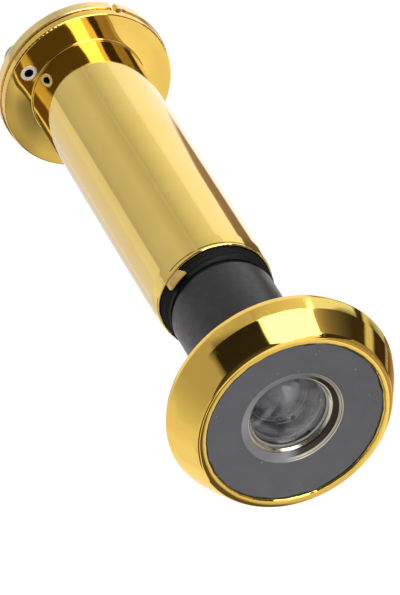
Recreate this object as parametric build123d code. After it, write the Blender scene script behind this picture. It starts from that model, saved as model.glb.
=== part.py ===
from build123d import *
import math
import os

os.makedirs("parts", exist_ok=True)

# A door viewer in two units that screw together through the door.
# The viewing axis is Y: the indoor side is +Y and the outdoor side is -Y.
# The origin is the centre of the indoor flange's face on the door, and +Z is up.
# All sizes are in millimetres.

# Fits
RUNNING_GAP = 0.05
PRESS_GAP = 0.02
COVER_PLAY = 0.08
NOTCH_PLAY = 0.12
STOP_PLAY = 0.2

# Reach of every cut past the faces that it opens
CUT_MARGIN = 1.0

# Setting of the screwed joint, measured between the two faces that clamp the door
DOOR_GAP = 72.9
THREAD_PITCH = 0.75
THREAD_DEPTH = 0.43
THREAD_CREST_LAND = 0.06
THREAD_FLANK_ANGLE = 30.0

# Indoor tube
TUBE_RADIUS = 8.0
TUBE_LENGTH = 50.85
MOUTH_ROUND = 0.2
TONGUE_LENGTH = 2.2
TONGUE_SETBACK = 0.25
TONGUE_ROOT_WIDTH = 2.15
TONGUE_TIP_LEAN = 1.05
TONGUE_TIP_ROUND = 0.5
TONGUE_HOOK_ROUND = 0.2
TONGUE_ANGLE = 7.2

# Indoor flange, with the seat that takes the tube's end
FLANGE_RADIUS = 12.0
FLANGE_THICKNESS = 1.35
FLANGE_ROUND = 0.2
TUBE_SEAT_DEPTH = 0.75
TUBE_SPIGOT_RADIUS = 7.75
TUBE_SHOULDER_DEPTH = 0.18
TUBE_SHOULDER_SETBACK = 0.08
SEAT_CHAMFER_DEPTH = 0.2
BEAD_RADIUS = 0.18
BEAD_ROUND_SHARE = 0.95
EYE_HOLE_RADIUS = 5.0
KEY_SLOT_WIDTH = 2.4
KEY_SLOT_REACH = 7.0

# Swinging cover and the rivet that carries it
COVER_RADIUS = 12.2
COVER_THICKNESS = 1.5
COVER_ROUND = 0.35
COVER_GAP = 0.45
PIVOT_HEIGHT = 9.55
RIVET_SHANK_RADIUS = 0.95
RIVET_BORE_RADIUS = 0.6
RIVET_BORE_DEPTH = 3.0
RIVET_ROLL_RADIUS = 1.2
RIVET_ROLL_HEIGHT = 0.3
RIVET_ROLL_SETBACK = 0.02
RIVET_ROLL_INNER_ROUND_SHARE = 0.35
RIVET_ROLL_OUTER_ROUND_SHARE = 0.8
RIVET_HEAD_RADIUS = 2.1
RIVET_HEAD_HEIGHT = 1.5
RIVET_HEAD_ROUND_SHARE = 0.8
WASHER_RADIUS = 2.0

# Stop pin for the cover, and the notch that lets the cover close round it
STOP_RADIUS = 0.45
STOP_DISTANCE = 11.2
STOP_ANGLE = 89.0
STOP_END_SETBACK = 0.03
STOP_TIP_SETBACK = 0.4
STOP_TIP_ROUND_SHARE = 0.35

# Outdoor bezel, with depths taken inwards from the front plate's face
BEZEL_DEPTH = 6.2
BEZEL_RADIUS = 15.0
BEZEL_WIDEST_DEPTH = 4.95
BEZEL_WIDEST_ROUND = 0.4
BEZEL_BACK_RADIUS = 14.6
BEZEL_BACK_ROUND = 0.35
BEVEL_OUTER_RADIUS = 14.45
BEVEL_OUTER_DEPTH = 3.4
BEVEL_OUTER_ROUND = 0.8
LIP_OUTER_RADIUS = 12.75
LIP_INNER_RADIUS = 11.6
LIP_HEIGHT = 0.3
LIP_OUTER_ROUND = 0.5
LIP_INNER_ROUND = 0.28
BEZEL_WEB = 0.8
BACK_RECESS_RADIUS = 9.0

# Front plate
PLATE_RADIUS = 12.15
PLATE_THICKNESS = 1.5
PLATE_RIM_WIDTH = 0.8
PLATE_DISH = 0.7
PLATE_HOLE_RADIUS = 6.9
PLATE_CHAMFER_DEPTH = 0.6
PLATE_NECK_RADIUS = 5.6

# Lens barrel
BARREL_LENGTH = 51.5
BARREL_FLANGE_THICKNESS = 1.9
BARREL_BORE_RADIUS = 6.15
NECK_RADIUS = 7.06
NECK_LENGTH = 21.9
NECK_ROUND = 0.2
RELIEF_RADIUS = 6.75
RELIEF_WIDTH = 0.7
THREAD_CREST_RADIUS = 7.4

# Lens stack, from the outdoor end inwards
LENS_RADIUS = 6.1
FRONT_RING_THICKNESS = 0.5
FRONT_RING_OPENING = 5.2
FRONT_RING_BEVEL = 0.25
SEAL_THICKNESS = 0.25
SEAL_OPENING = 5.35
FRONT_LENS_EDGE = 2.6
FRONT_LENS_CROWN = 1.1
FRONT_LENS_CROWN_RADIUS = 5.0
FRONT_LENS_BOWL = 2.2
FRONT_LENS_BOWL_RADIUS = 4.2
FRONT_SPACER_LENGTH = 1.2
SPACER_OPENING = 4.7
SECOND_LENS_EDGE = 2.2
SECOND_LENS_BOWL = 1.3
SECOND_LENS_BOWL_RADIUS = 4.2
MIDDLE_SPACER_LENGTH = 1.0
THIRD_LENS_EDGE = 2.6
THIRD_LENS_FRONT_BOWL = 0.6
THIRD_LENS_REAR_BOWL = 0.8
THIRD_LENS_BOWL_RADIUS = 4.4
APERTURE_THICKNESS = 0.5
APERTURE_RADIUS = 2.2
SPACER_TUBE_OPENING = 5.3
EYEPIECE_EDGE = 1.4
EYEPIECE_CROWN = 1.0
EYEPIECE_CROWN_RADIUS = 5.1
RETAINING_RING_LENGTH = 2.0
RETAINING_RING_SETBACK = 0.4
RETAINING_RING_OPENING = 5.3
RING_NOTCH_WIDTH = 1.2
RING_NOTCH_DEPTH = 0.8

# Places along the axis that several pieces share
MOUTH_Y = -TUBE_LENGTH
BEZEL_BACK_Y = -DOOR_GAP
FACE_Y = BEZEL_BACK_Y - BEZEL_DEPTH
BARREL_FRONT_Y = FACE_Y + PLATE_THICKNESS
BARREL_FLANGE_BACK_Y = BARREL_FRONT_Y + BARREL_FLANGE_THICKNESS
BARREL_END_Y = BARREL_FRONT_Y + BARREL_LENGTH
NECK_END_Y = BARREL_FLANGE_BACK_Y + NECK_LENGTH
FLANGE_SEAT_Y = TUBE_SEAT_DEPTH
COVER_INNER_Y = FLANGE_THICKNESS + COVER_GAP
COVER_OUTER_Y = COVER_INNER_Y + COVER_THICKNESS
BACK_RECESS_Y = BARREL_FLANGE_BACK_Y + BEZEL_WEB


def turned(*corners):
    """Turn a half section about Y. A corner is (radius, y) or (radius, y, rounding)."""
    rounding = [corner[2] if len(corner) == 3 else 0 for corner in corners]
    outline = FilletPolyline(*[corner[:2] for corner in corners], radius=rounding, close=True)
    return revolve(make_face(outline), Axis.Y)


def ring(outer, inner, start, length):
    """A plain ring about Y that runs inwards from start."""
    end = start + length
    return turned((inner, start), (outer, start), (outer, end), (inner, end))


def rod(radius, start, end):
    """A plain round bar about Y."""
    return turned((0, start), (radius, start), (radius, end), (0, end))


def at_angle(distance, angle):
    """A place beside the axis, at an angle from +Z towards +X."""
    turn = math.radians(angle)
    return Pos(distance * math.sin(turn), 0, distance * math.cos(turn))


def crown(radius, height, rim_y):
    """The spherical half outline from the axis to its rim. A negative height bulges to -Y."""
    if height == 0:
        return Line((0, rim_y), (radius, rim_y))
    sphere = (radius**2 + height**2) / (2 * abs(height))
    half_way = sphere - math.sqrt(sphere**2 - (radius / 2) ** 2)
    apex = rim_y + height
    middle = apex - math.copysign(half_way, height)
    return ThreePointArc((0, apex), (radius / 2, middle), (radius, rim_y))


def lens(start, edge, front_radius, front_height, rear_radius, rear_height):
    """A glass lens with flat rims. Heights are measured along +Y from each rim plane."""
    end = start + edge
    outline = [
        crown(front_radius, front_height, start),
        Line((front_radius, start), (LENS_RADIUS, start)),
        Line((LENS_RADIUS, start), (LENS_RADIUS, end)),
        Line((LENS_RADIUS, end), (rear_radius, end)),
        crown(rear_radius, rear_height, end),
        Line((0, end + rear_height), (0, start + front_height)),
    ]
    return revolve(make_face(outline), Axis.Y)


def thread_corners(start, end):
    """The saw-tooth half section of the male thread, one ridge for each pitch."""
    root = THREAD_CREST_RADIUS - THREAD_DEPTH
    flank = THREAD_DEPTH * math.tan(math.radians(THREAD_FLANK_ANGLE))
    ridges = math.floor((end - start) / THREAD_PITCH)
    corners = []
    for ridge in range(ridges):
        foot = start + ridge * THREAD_PITCH
        corners += [
            (root, foot),
            (THREAD_CREST_RADIUS, foot + flank),
            (THREAD_CREST_RADIUS, foot + flank + THREAD_CREST_LAND),
            (root, foot + 2 * flank + THREAD_CREST_LAND),
        ]
    return corners


def make_viewer_tube():
    """Plated tube through the door. A hooked tongue at its mouth, set in a little, locks the thread."""
    bore = THREAD_CREST_RADIUS + RUNNING_GAP
    tube = turned(
        (bore, FLANGE_SEAT_Y),
        (TUBE_SPIGOT_RADIUS, FLANGE_SEAT_Y),
        (TUBE_SPIGOT_RADIUS, TUBE_SHOULDER_DEPTH),
        (TUBE_RADIUS, -TUBE_SHOULDER_SETBACK),
        (TUBE_RADIUS, MOUTH_Y, MOUTH_ROUND),
        (bore, MOUTH_Y, MOUTH_ROUND),
    )
    root_y = MOUTH_Y + 2 * MOUTH_ROUND
    tip_y = MOUTH_Y - TONGUE_LENGTH
    side = TONGUE_ROOT_WIDTH / 2
    outline = FilletPolyline(
        (-side, root_y),
        (-side, tip_y),
        (side + TONGUE_TIP_LEAN, tip_y),
        (side, MOUTH_Y),
        (side, root_y),
        radius=(0, TONGUE_TIP_ROUND, TONGUE_HOOK_ROUND, 0, 0),
        close=True,
    )
    window = extrude(make_face(outline), TUBE_RADIUS + CUT_MARGIN)
    band = ring(TUBE_RADIUS - TONGUE_SETBACK, bore, tip_y, root_y - tip_y)
    return tube + Rot(0, TONGUE_ANGLE, 0) * (band & window)


def make_indoor_flange():
    """Round flange that bears on the door, with the eye hole and two slots for a coin."""
    seat = TUBE_SPIGOT_RADIUS + PRESS_GAP
    bead_inner = TUBE_RADIUS + PRESS_GAP
    plate = turned(
        (bead_inner, 0),
        (FLANGE_RADIUS, 0, FLANGE_ROUND),
        (FLANGE_RADIUS, FLANGE_THICKNESS, FLANGE_ROUND),
        (EYE_HOLE_RADIUS, FLANGE_THICKNESS),
        (EYE_HOLE_RADIUS, FLANGE_SEAT_Y),
        (seat, FLANGE_SEAT_Y),
        (seat, SEAT_CHAMFER_DEPTH),
    )
    bead = turned(
        (bead_inner, -BEAD_RADIUS),
        (bead_inner + BEAD_RADIUS, -BEAD_RADIUS, BEAD_RADIUS * BEAD_ROUND_SHARE),
        (bead_inner + BEAD_RADIUS, FLANGE_ROUND),
        (bead_inner, FLANGE_ROUND),
    )
    slots = Pos(0, FLANGE_THICKNESS, 0) * Box(KEY_SLOT_WIDTH, 2 * FLANGE_THICKNESS, 2 * KEY_SLOT_REACH)
    lip_only = rod(KEY_SLOT_REACH, FLANGE_SEAT_Y, FLANGE_THICKNESS)
    start = -CUT_MARGIN
    end = FLANGE_THICKNESS + CUT_MARGIN
    roll_seat_y = RIVET_ROLL_SETBACK + RIVET_ROLL_HEIGHT
    rivet_bore = rod(RIVET_SHANK_RADIUS + PRESS_GAP, start, end)
    roll_seat = rod(RIVET_ROLL_RADIUS + PRESS_GAP, start, roll_seat_y)
    rivet_hole = at_angle(PIVOT_HEIGHT, 0) * (rivet_bore + roll_seat)
    pin_hole = at_angle(STOP_DISTANCE, STOP_ANGLE) * rod(STOP_RADIUS + PRESS_GAP, start, end)
    return plate + bead - (slots & lip_only) - rivet_hole - pin_hole


def make_privacy_cover():
    """Round cover that swings on the rivet, notched at its edge for the stop pin."""
    disc = turned(
        (0, COVER_INNER_Y),
        (COVER_RADIUS, COVER_INNER_Y, COVER_ROUND / 2),
        (COVER_RADIUS, COVER_OUTER_Y, COVER_ROUND),
        (0, COVER_OUTER_Y),
    )
    start = COVER_INNER_Y - CUT_MARGIN
    end = COVER_OUTER_Y + CUT_MARGIN
    pivot_hole = at_angle(PIVOT_HEIGHT, 0) * rod(RIVET_SHANK_RADIUS + RUNNING_GAP, start, end)
    notch_radius = STOP_RADIUS + NOTCH_PLAY
    stop = at_angle(STOP_DISTANCE, STOP_ANGLE)
    pivot = at_angle(PIVOT_HEIGHT, 0)
    arm = stop.position - pivot.position
    way_out = math.degrees(math.atan2(arm.X, arm.Z)) - 90
    reach = 2 * (COVER_RADIUS - STOP_DISTANCE + notch_radius)
    middle_y = (COVER_INNER_Y + COVER_OUTER_Y) / 2
    channel = Pos(0, middle_y, reach / 2) * Box(2 * notch_radius, 2 * COVER_THICKNESS, reach)
    round_end = rod(notch_radius, start, end)
    notch = stop * Rot(0, way_out, 0) * (channel + round_end)
    return disc - pivot_hole - notch


def make_pivot_rivet():
    """Hollow rivet with a domed head indoors and an end that is rolled out into the flange."""
    head_y = COVER_OUTER_Y + COVER_PLAY
    top_y = head_y + RIVET_HEAD_HEIGHT
    roll_y = RIVET_ROLL_SETBACK
    roll_end_y = roll_y + RIVET_ROLL_HEIGHT
    bore_end_y = roll_y + RIVET_BORE_DEPTH
    shank = turned(
        (RIVET_BORE_RADIUS, roll_y, RIVET_ROLL_HEIGHT * RIVET_ROLL_INNER_ROUND_SHARE),
        (RIVET_ROLL_RADIUS, roll_y, RIVET_ROLL_HEIGHT * RIVET_ROLL_OUTER_ROUND_SHARE),
        (RIVET_ROLL_RADIUS, roll_end_y),
        (RIVET_SHANK_RADIUS, roll_end_y),
        (RIVET_SHANK_RADIUS, head_y),
        (RIVET_HEAD_RADIUS, head_y),
        (RIVET_HEAD_RADIUS, top_y, RIVET_HEAD_HEIGHT * RIVET_HEAD_ROUND_SHARE),
        (0, top_y),
        (0, bore_end_y),
        (RIVET_BORE_RADIUS, bore_end_y),
    )
    return at_angle(PIVOT_HEIGHT, 0) * shank


def make_pivot_washer():
    """Thin washer that keeps the cover off the flange."""
    washer = ring(
        WASHER_RADIUS, RIVET_SHANK_RADIUS + RUNNING_GAP, FLANGE_THICKNESS, COVER_GAP - COVER_PLAY
    )
    return at_angle(PIVOT_HEIGHT, 0) * washer


def make_stop_pin():
    """Small pin staked in the flange, against which the closed cover comes to rest."""
    tip_y = COVER_OUTER_Y - STOP_TIP_SETBACK
    pin = turned(
        (0, STOP_END_SETBACK),
        (STOP_RADIUS, STOP_END_SETBACK),
        (STOP_RADIUS, tip_y, STOP_RADIUS * STOP_TIP_ROUND_SHARE),
        (0, tip_y),
    )
    return at_angle(STOP_DISTANCE, STOP_ANGLE) * pin


def make_bezel_ring():
    """Polished bezel with a bevelled front. Its lip is rolled over the front plate."""
    seat = PLATE_RADIUS + PRESS_GAP
    return turned(
        (LIP_INNER_RADIUS, FACE_Y),
        (LIP_INNER_RADIUS, FACE_Y - LIP_HEIGHT, LIP_INNER_ROUND),
        (LIP_OUTER_RADIUS, FACE_Y - LIP_HEIGHT, LIP_OUTER_ROUND),
        (BEVEL_OUTER_RADIUS, FACE_Y + BEVEL_OUTER_DEPTH, BEVEL_OUTER_ROUND),
        (BEZEL_RADIUS, FACE_Y + BEZEL_WIDEST_DEPTH, BEZEL_WIDEST_ROUND),
        (BEZEL_BACK_RADIUS, BEZEL_BACK_Y, BEZEL_BACK_ROUND),
        (BACK_RECESS_RADIUS, BEZEL_BACK_Y),
        (BACK_RECESS_RADIUS, BACK_RECESS_Y),
        (NECK_RADIUS + PRESS_GAP, BACK_RECESS_Y),
        (NECK_RADIUS + PRESS_GAP, BARREL_FLANGE_BACK_Y),
        (seat, BARREL_FLANGE_BACK_Y),
        (seat, FACE_Y),
    )


def make_front_plate():
    """Matt plate in the bezel, dished towards a chamfered hole over the front lens."""
    chamfer_end_y = FACE_Y + PLATE_DISH + PLATE_CHAMFER_DEPTH
    return turned(
        (PLATE_RADIUS, FACE_Y),
        (PLATE_RADIUS - PLATE_RIM_WIDTH, FACE_Y),
        (PLATE_HOLE_RADIUS, FACE_Y + PLATE_DISH),
        (PLATE_NECK_RADIUS, chamfer_end_y),
        (PLATE_NECK_RADIUS, BARREL_FRONT_Y),
        (PLATE_RADIUS, BARREL_FRONT_Y),
    )


def make_lens_barrel():
    """Black barrel: a flange behind the front plate, a smooth neck, then the male thread."""
    thread_start = NECK_END_Y + RELIEF_WIDTH
    return turned(
        (BARREL_BORE_RADIUS, BARREL_FRONT_Y),
        (PLATE_RADIUS, BARREL_FRONT_Y),
        (PLATE_RADIUS, BARREL_FLANGE_BACK_Y),
        (NECK_RADIUS, BARREL_FLANGE_BACK_Y),
        (NECK_RADIUS, NECK_END_Y, NECK_ROUND),
        (RELIEF_RADIUS, NECK_END_Y),
        (RELIEF_RADIUS, thread_start),
        *thread_corners(thread_start, BARREL_END_Y),
        (THREAD_CREST_RADIUS - THREAD_DEPTH, BARREL_END_Y),
        (BARREL_BORE_RADIUS, BARREL_END_Y),
    )


def make_front_lens_ring(start):
    """Brass ring that frames the front lens."""
    end = start + FRONT_RING_THICKNESS
    outer = BARREL_BORE_RADIUS - PRESS_GAP
    return turned(
        (FRONT_RING_OPENING + FRONT_RING_BEVEL, start),
        (outer, start),
        (outer, end),
        (FRONT_RING_OPENING, end),
        (FRONT_RING_OPENING, start + FRONT_RING_BEVEL),
    )


def make_retaining_ring(start):
    """Ring screwed into the inner end, with two notches for a pin spanner."""
    outer = BARREL_BORE_RADIUS - PRESS_GAP
    end = start + RETAINING_RING_LENGTH
    body = ring(outer, RETAINING_RING_OPENING, start, RETAINING_RING_LENGTH)
    notches = Pos(0, end, 0) * Box(RING_NOTCH_WIDTH, 2 * RING_NOTCH_DEPTH, 4 * outer)
    return body - notches


def make_lens_stack():
    """Lenses and spacers in the order in which they lie in the barrel, keyed by name."""
    ring_y = BARREL_FRONT_Y
    seal_y = ring_y + FRONT_RING_THICKNESS
    front_y = seal_y + SEAL_THICKNESS
    front_spacer_y = front_y + FRONT_LENS_EDGE
    second_y = front_spacer_y + FRONT_SPACER_LENGTH
    middle_spacer_y = second_y + SECOND_LENS_EDGE
    third_y = middle_spacer_y + MIDDLE_SPACER_LENGTH
    aperture_y = third_y + THIRD_LENS_EDGE
    tube_y = aperture_y + APERTURE_THICKNESS
    retaining_y = BARREL_END_Y - RETAINING_RING_SETBACK - RETAINING_RING_LENGTH
    eyepiece_y = retaining_y - EYEPIECE_EDGE
    return {
        "front_lens_ring": make_front_lens_ring(ring_y),
        "front_lens_seal": ring(LENS_RADIUS, SEAL_OPENING, seal_y, SEAL_THICKNESS),
        "front_lens": lens(
            front_y,
            FRONT_LENS_EDGE,
            FRONT_LENS_CROWN_RADIUS,
            -FRONT_LENS_CROWN,
            FRONT_LENS_BOWL_RADIUS,
            -FRONT_LENS_BOWL,
        ),
        "front_spacer": ring(LENS_RADIUS, SPACER_OPENING, front_spacer_y, FRONT_SPACER_LENGTH),
        "second_lens": lens(
            second_y, SECOND_LENS_EDGE, SPACER_OPENING, 0, SECOND_LENS_BOWL_RADIUS, -SECOND_LENS_BOWL
        ),
        "middle_spacer": ring(LENS_RADIUS, SPACER_OPENING, middle_spacer_y, MIDDLE_SPACER_LENGTH),
        "third_lens": lens(
            third_y,
            THIRD_LENS_EDGE,
            THIRD_LENS_BOWL_RADIUS,
            THIRD_LENS_FRONT_BOWL,
            THIRD_LENS_BOWL_RADIUS,
            -THIRD_LENS_REAR_BOWL,
        ),
        "aperture_stop": ring(LENS_RADIUS, APERTURE_RADIUS, aperture_y, APERTURE_THICKNESS),
        "spacer_tube": ring(LENS_RADIUS, SPACER_TUBE_OPENING, tube_y, eyepiece_y - tube_y),
        "eyepiece_lens": lens(
            eyepiece_y,
            EYEPIECE_EDGE,
            EYEPIECE_CROWN_RADIUS,
            -EYEPIECE_CROWN,
            EYEPIECE_CROWN_RADIUS,
            EYEPIECE_CROWN,
        ),
        "retaining_ring": make_retaining_ring(retaining_y),
    }


def screw_travel():
    """How far the outdoor unit screws in, then out, from the setting modelled."""
    screws_in = MOUTH_Y - TONGUE_LENGTH - BACK_RECESS_Y - STOP_PLAY
    screws_out = BARREL_END_Y - MOUTH_Y
    return screws_in, screws_out


def cover_turn():
    """How far the closed cover turns before its other edge meets the stop pin, in degrees."""
    stop = at_angle(STOP_DISTANCE, STOP_ANGLE).position
    arm = stop - at_angle(PIVOT_HEIGHT, 0).position
    touching = COVER_RADIUS + STOP_RADIUS
    beside = (PIVOT_HEIGHT**2 + arm.length**2 - touching**2) / (2 * PIVOT_HEIGHT * arm.length)
    below_arm = math.degrees(math.acos(beside))
    arm_angle = math.degrees(math.atan2(arm.X, -arm.Z))
    return 360 - arm_angle - below_arm


nodes = {
    "viewer_tube": make_viewer_tube(),
    "indoor_flange": make_indoor_flange(),
    "privacy_cover": make_privacy_cover(),
    "pivot_rivet": make_pivot_rivet(),
    "pivot_washer": make_pivot_washer(),
    "stop_pin": make_stop_pin(),
    "bezel_ring": make_bezel_ring(),
    "front_plate": make_front_plate(),
    "lens_barrel": make_lens_barrel(),
    **make_lens_stack(),
}
for name, solid in nodes.items():
    export_step(solid, f"parts/{name}.step")
for way, name in zip(screw_travel(), ("in", "out")):
    print("screws", name, round(way, 3), "mm, which is", round(way / THREAD_PITCH, 2), "turns")
print("the cover turns", round(cover_turn(), 2), "degrees")
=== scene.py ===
import math

import bmesh
import bpy
from mathutils import Matrix, Vector, noise


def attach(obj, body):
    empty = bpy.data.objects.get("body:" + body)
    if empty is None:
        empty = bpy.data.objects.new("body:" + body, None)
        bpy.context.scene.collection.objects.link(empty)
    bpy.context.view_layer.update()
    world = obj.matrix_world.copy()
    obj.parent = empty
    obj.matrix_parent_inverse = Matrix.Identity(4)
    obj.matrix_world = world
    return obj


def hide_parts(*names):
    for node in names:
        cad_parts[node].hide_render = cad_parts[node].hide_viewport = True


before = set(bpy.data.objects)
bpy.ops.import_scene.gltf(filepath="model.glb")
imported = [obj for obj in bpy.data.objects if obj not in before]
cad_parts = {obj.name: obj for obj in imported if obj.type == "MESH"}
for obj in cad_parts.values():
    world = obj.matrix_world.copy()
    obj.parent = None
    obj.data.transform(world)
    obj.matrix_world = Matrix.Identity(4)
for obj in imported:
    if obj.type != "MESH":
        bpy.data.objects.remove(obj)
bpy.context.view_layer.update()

MM = 0.001

# Camera: the photograph's own viewpoint, in the part's frame, in metres
CAMERA_PLACE = Vector((0.21020, -0.47650, 0.29250))
CAMERA_RIGHT = Vector((0.45190, -0.33903, -0.82510))
CAMERA_UP = Vector((0.80750, 0.54846, 0.21690))
CAMERA_LENS = 265.1
CAMERA_NEAR = 0.05
CAMERA_FAR = 20
SENSOR = 36.0

# Places along the viewing axis, in millimetres
FACE_Y = -79.1
BARREL_FRONT_Y = -77.6
BARREL_FLANGE_BACK_Y = -75.7
BACK_RECESS_Y = -74.9
BEZEL_BACK_Y = -72.9
NECK_END_Y = -53.8
THREAD_START_Y = -53.1
BARREL_END_Y = -26.1

# Barrel, in millimetres
PLATE_RADIUS = 12.15
NECK_RADIUS = 7.06
NECK_ROUND = 0.2
RELIEF_RADIUS = 6.75
BARREL_BORE_RADIUS = 6.15
BARREL_SEGMENTS = 144

# Thread, in millimetres and turns. Each turn of the ridge has four corner lines.
THREAD_CREST_RADIUS = 7.4
THREAD_ROOT_RADIUS = 6.97
THREAD_PITCH = 0.75
THREAD_FLANK = 0.248
THREAD_LAND = 0.06
THREAD_RUN_IN = 0.1
THREAD_TURNS = 34
THREAD_FADE_TURNS = 0.25
RIDGE_LINES = 4
LAST_LINE = RIDGE_LINES * THREAD_TURNS

# Bezel, in millimetres, with depths from the front plate's face
SEAT_RADIUS = 12.17
LIP_INNER_RADIUS = 11.6
LIP_INNER_ROUND = 0.28
LIP_OUTER_RADIUS = 12.75
LIP_OUTER_ROUND = 0.8
LIP_HEIGHT = 0.3
BEVEL_OUTER_RADIUS = 14.45
BEVEL_OUTER_DEPTH = 3.4
BEVEL_OUTER_ROUND = 1.2
BEZEL_RADIUS = 15.0
BEZEL_WIDEST_DEPTH = 4.95
BEZEL_WIDEST_ROUND = 0.4
BEZEL_BACK_RADIUS = 14.6
BEZEL_BACK_ROUND = 0.35
BACK_RECESS_RADIUS = 9.0
NECK_FIT = 0.02
BEZEL_SEGMENTS = 360

# Unevenness of the bezel's rolled lip: its size, its coarse and fine frequencies, and the radii it takes in
BURR = 0.07
BURR_COARSE = 9
BURR_FINE = 31
BURR_FINE_SHARE = 0.6
BURR_RADII = (BACK_RECESS_RADIUS + 1, LIP_INNER_RADIUS + 0.3)

# Indoor tube, in millimetres
TUBE_RADIUS = 8.0
TUBE_BORE_RADIUS = 7.45
TUBE_SEAT_RADIUS = 7.75
TUBE_SEAT_Y = 0.75
TUBE_SEAT_FRONT_Y = 0.18
TUBE_ROOT_Y = -0.08
TUBE_SEGMENTS = 288
MOUTH_Y = -50.85
MOUTH_RADIUS = 7.74
MOUTH_TAPER = 1.85
MOUTH_SHOULDER_ROUND = 4
MOUTH_ROUND = 0.2
MOUTH_INNER_ROUND = 0.05
MOUTH_CHAMFER = (0.12, 0.35)

# Unevenness of the tube's mouth: size and frequency of its roughness, and its rises (height, angle, width)
MOUTH_ROUGH_LENGTH = 1.2
MOUTH_ROUGHNESS = ((0.05, 14), (0.03, 45))
MOUTH_ROUGH_OUT_SHARE = 0.3
MOUTH_RISES = ((0.22, -40, 30), (-0.3, 16, 24))

# Tongue at the tube's mouth, in millimetres and degrees
TONGUE_ANGLE = 7.2
TONGUE_ROOT_Y = -50.3
TONGUE_CREASE_Y = -51.2
TONGUE_CREASE_DEPTH = 0.07
TONGUE_CREASE_WIDTH = 0.12
TONGUE_TIP_Y = -53.0
TONGUE_HALF_WIDTH = 1.08
TONGUE_LEAN = 1.2
TONGUE_ROUND = 0.7
TONGUE_RIGHT_ROUND_SHARE = 0.5
TONGUE_OUTER_RADIUS = MOUTH_RADIUS - 0.02
TONGUE_INNER_RADIUS = TUBE_BORE_RADIUS + 0.01
TONGUE_BEND = 0.1
TONGUE_BEND_START = 0.4
TONGUE_GRID = (16, 24)

# Indoor flange and cover, in millimetres and degrees
FLANGE_FACE_Y = 1.35
COVER_RADIUS = 12.2
COVER_INNER_Y = 1.8
COVER_LIP_RADIUS = 11.6
COVER_LIP_Y = 1.47
COVER_LIP_ROUNDS = (0.05, 0.12)
COVER_LIP_PROUD = 0.01
COVER_LIP_ROOT = 0.1
COVER_LIP_OVERLAP = 0.5
COVER_LIP_SINK = 0.05
COVER_LIP_STEPS = 240
NOTCH_ANGLES = (79.8, 90.8)

# Pivot rivet, in millimetres
PIVOT_HEIGHT = 9.55
AXIS_RADIUS = 0.01
RIVET_BORE_RADIUS = 0.6
RIVET_BORE_ROUND = 0.1
RIVET_BORE_END_Y = 3.02
RIVET_ROLL_RADIUS = 1.2
RIVET_ROLL_ROUND = 0.22
RIVET_ROLL_Y = 0.02
RIVET_ROLL_END_Y = 0.32
RIVET_SHANK_RADIUS = 0.95
RIVET_HEAD_RADIUS = 2.1
RIVET_HEAD_ROUND = 0.08
RIVET_HEAD_Y = 3.38
RIVET_DOME_ROUND = 0.95
RIVET_TOP_Y = 5.25
RIVET_SEGMENTS = 96

# Stop, in millimetres and degrees. The crown gives depths under the tip with shares of the radius.
STOP_RADIUS = 0.45
STOP_DISTANCE = 11.2
STOP_ANGLE = 89.0
STOP_START_Y = 0.003
STOP_END_RADIUS = 0.468
STOP_LEDGE = (FLANGE_FACE_Y - 0.01, FLANGE_FACE_Y + 0.02)
STOP_TIP_Y = 2.9
STOP_REACH = 1.0
STOP_CROWN = ((0.25, 1), (0.08, 0.85), (0, 0.5))
STOP_SEGMENTS = 32

ARC_STEPS = 5
SHARP_ANGLE = 34


def new_object(name, mesh):
    thing = bpy.data.objects.new(name, mesh)
    bpy.context.scene.collection.objects.link(thing)
    return thing


def make_camera():
    lens = bpy.data.cameras.new("camera")
    lens.sensor_width = SENSOR
    lens.sensor_fit = "AUTO"
    lens.lens = CAMERA_LENS
    lens.clip_start = CAMERA_NEAR
    lens.clip_end = CAMERA_FAR
    camera = new_object("camera", lens)
    back = CAMERA_RIGHT.cross(CAMERA_UP)
    turn = Matrix((CAMERA_RIGHT, CAMERA_UP, back)).transposed()
    camera.matrix_world = Matrix.Translation(CAMERA_PLACE) @ turn.to_4x4()
    bpy.context.scene.camera = camera


# Shapes

def rounded(corners):
    """A closed outline from corners (radius, y) or (radius, y, rounding)."""
    outline = []
    for index, corner in enumerate(corners):
        here = Vector(corner[:2])
        if len(corner) == 2:
            outline.append(here)
            continue
        before = (Vector(corners[index - 1][:2]) - here).normalized()
        after = (Vector(corners[(index + 1) % len(corners)][:2]) - here).normalized()
        half = before.angle(after) / 2
        reach = corner[2] / math.tan(half)
        middle = here + (before + after).normalized() * corner[2] / math.sin(half)
        start = here + before * reach - middle
        end = here + after * reach - middle
        sweep = start.angle_signed(end)
        for step in range(ARC_STEPS + 1):
            outline.append(middle + Matrix.Rotation(-sweep * step / ARC_STEPS, 2) @ start)
    return outline


def on_axis(radius, y, turn):
    """A point round the viewing axis, with the turn measured from +Z towards +X, in metres."""
    return Vector((radius * math.sin(turn), y, radius * math.cos(turn))) * MM


def finished(name, shape):
    bmesh.ops.recalc_face_normals(shape, faces=shape.faces)
    mesh = bpy.data.meshes.new(name)
    shape.to_mesh(mesh)
    shape.free()
    mesh.shade_smooth()
    mesh.set_sharp_from_angle(angle=math.radians(SHARP_ANGLE))
    return new_object(name, mesh)


def skinned(name, shape, loops, closed):
    """Faces from loop to loop. A closed row goes on to its first loop, and an open one gets end caps."""
    following = loops[1:] + loops[:1] if closed else loops[1:]
    for here, there in zip(loops, following):
        for spot in range(len(here)):
            after = (spot + 1) % len(here)
            shape.faces.new((here[spot], here[after], there[after], there[spot]))
    if not closed:
        shape.faces.new(loops[0])
        shape.faces.new(loops[-1][::-1])
    return finished(name, shape)


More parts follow.
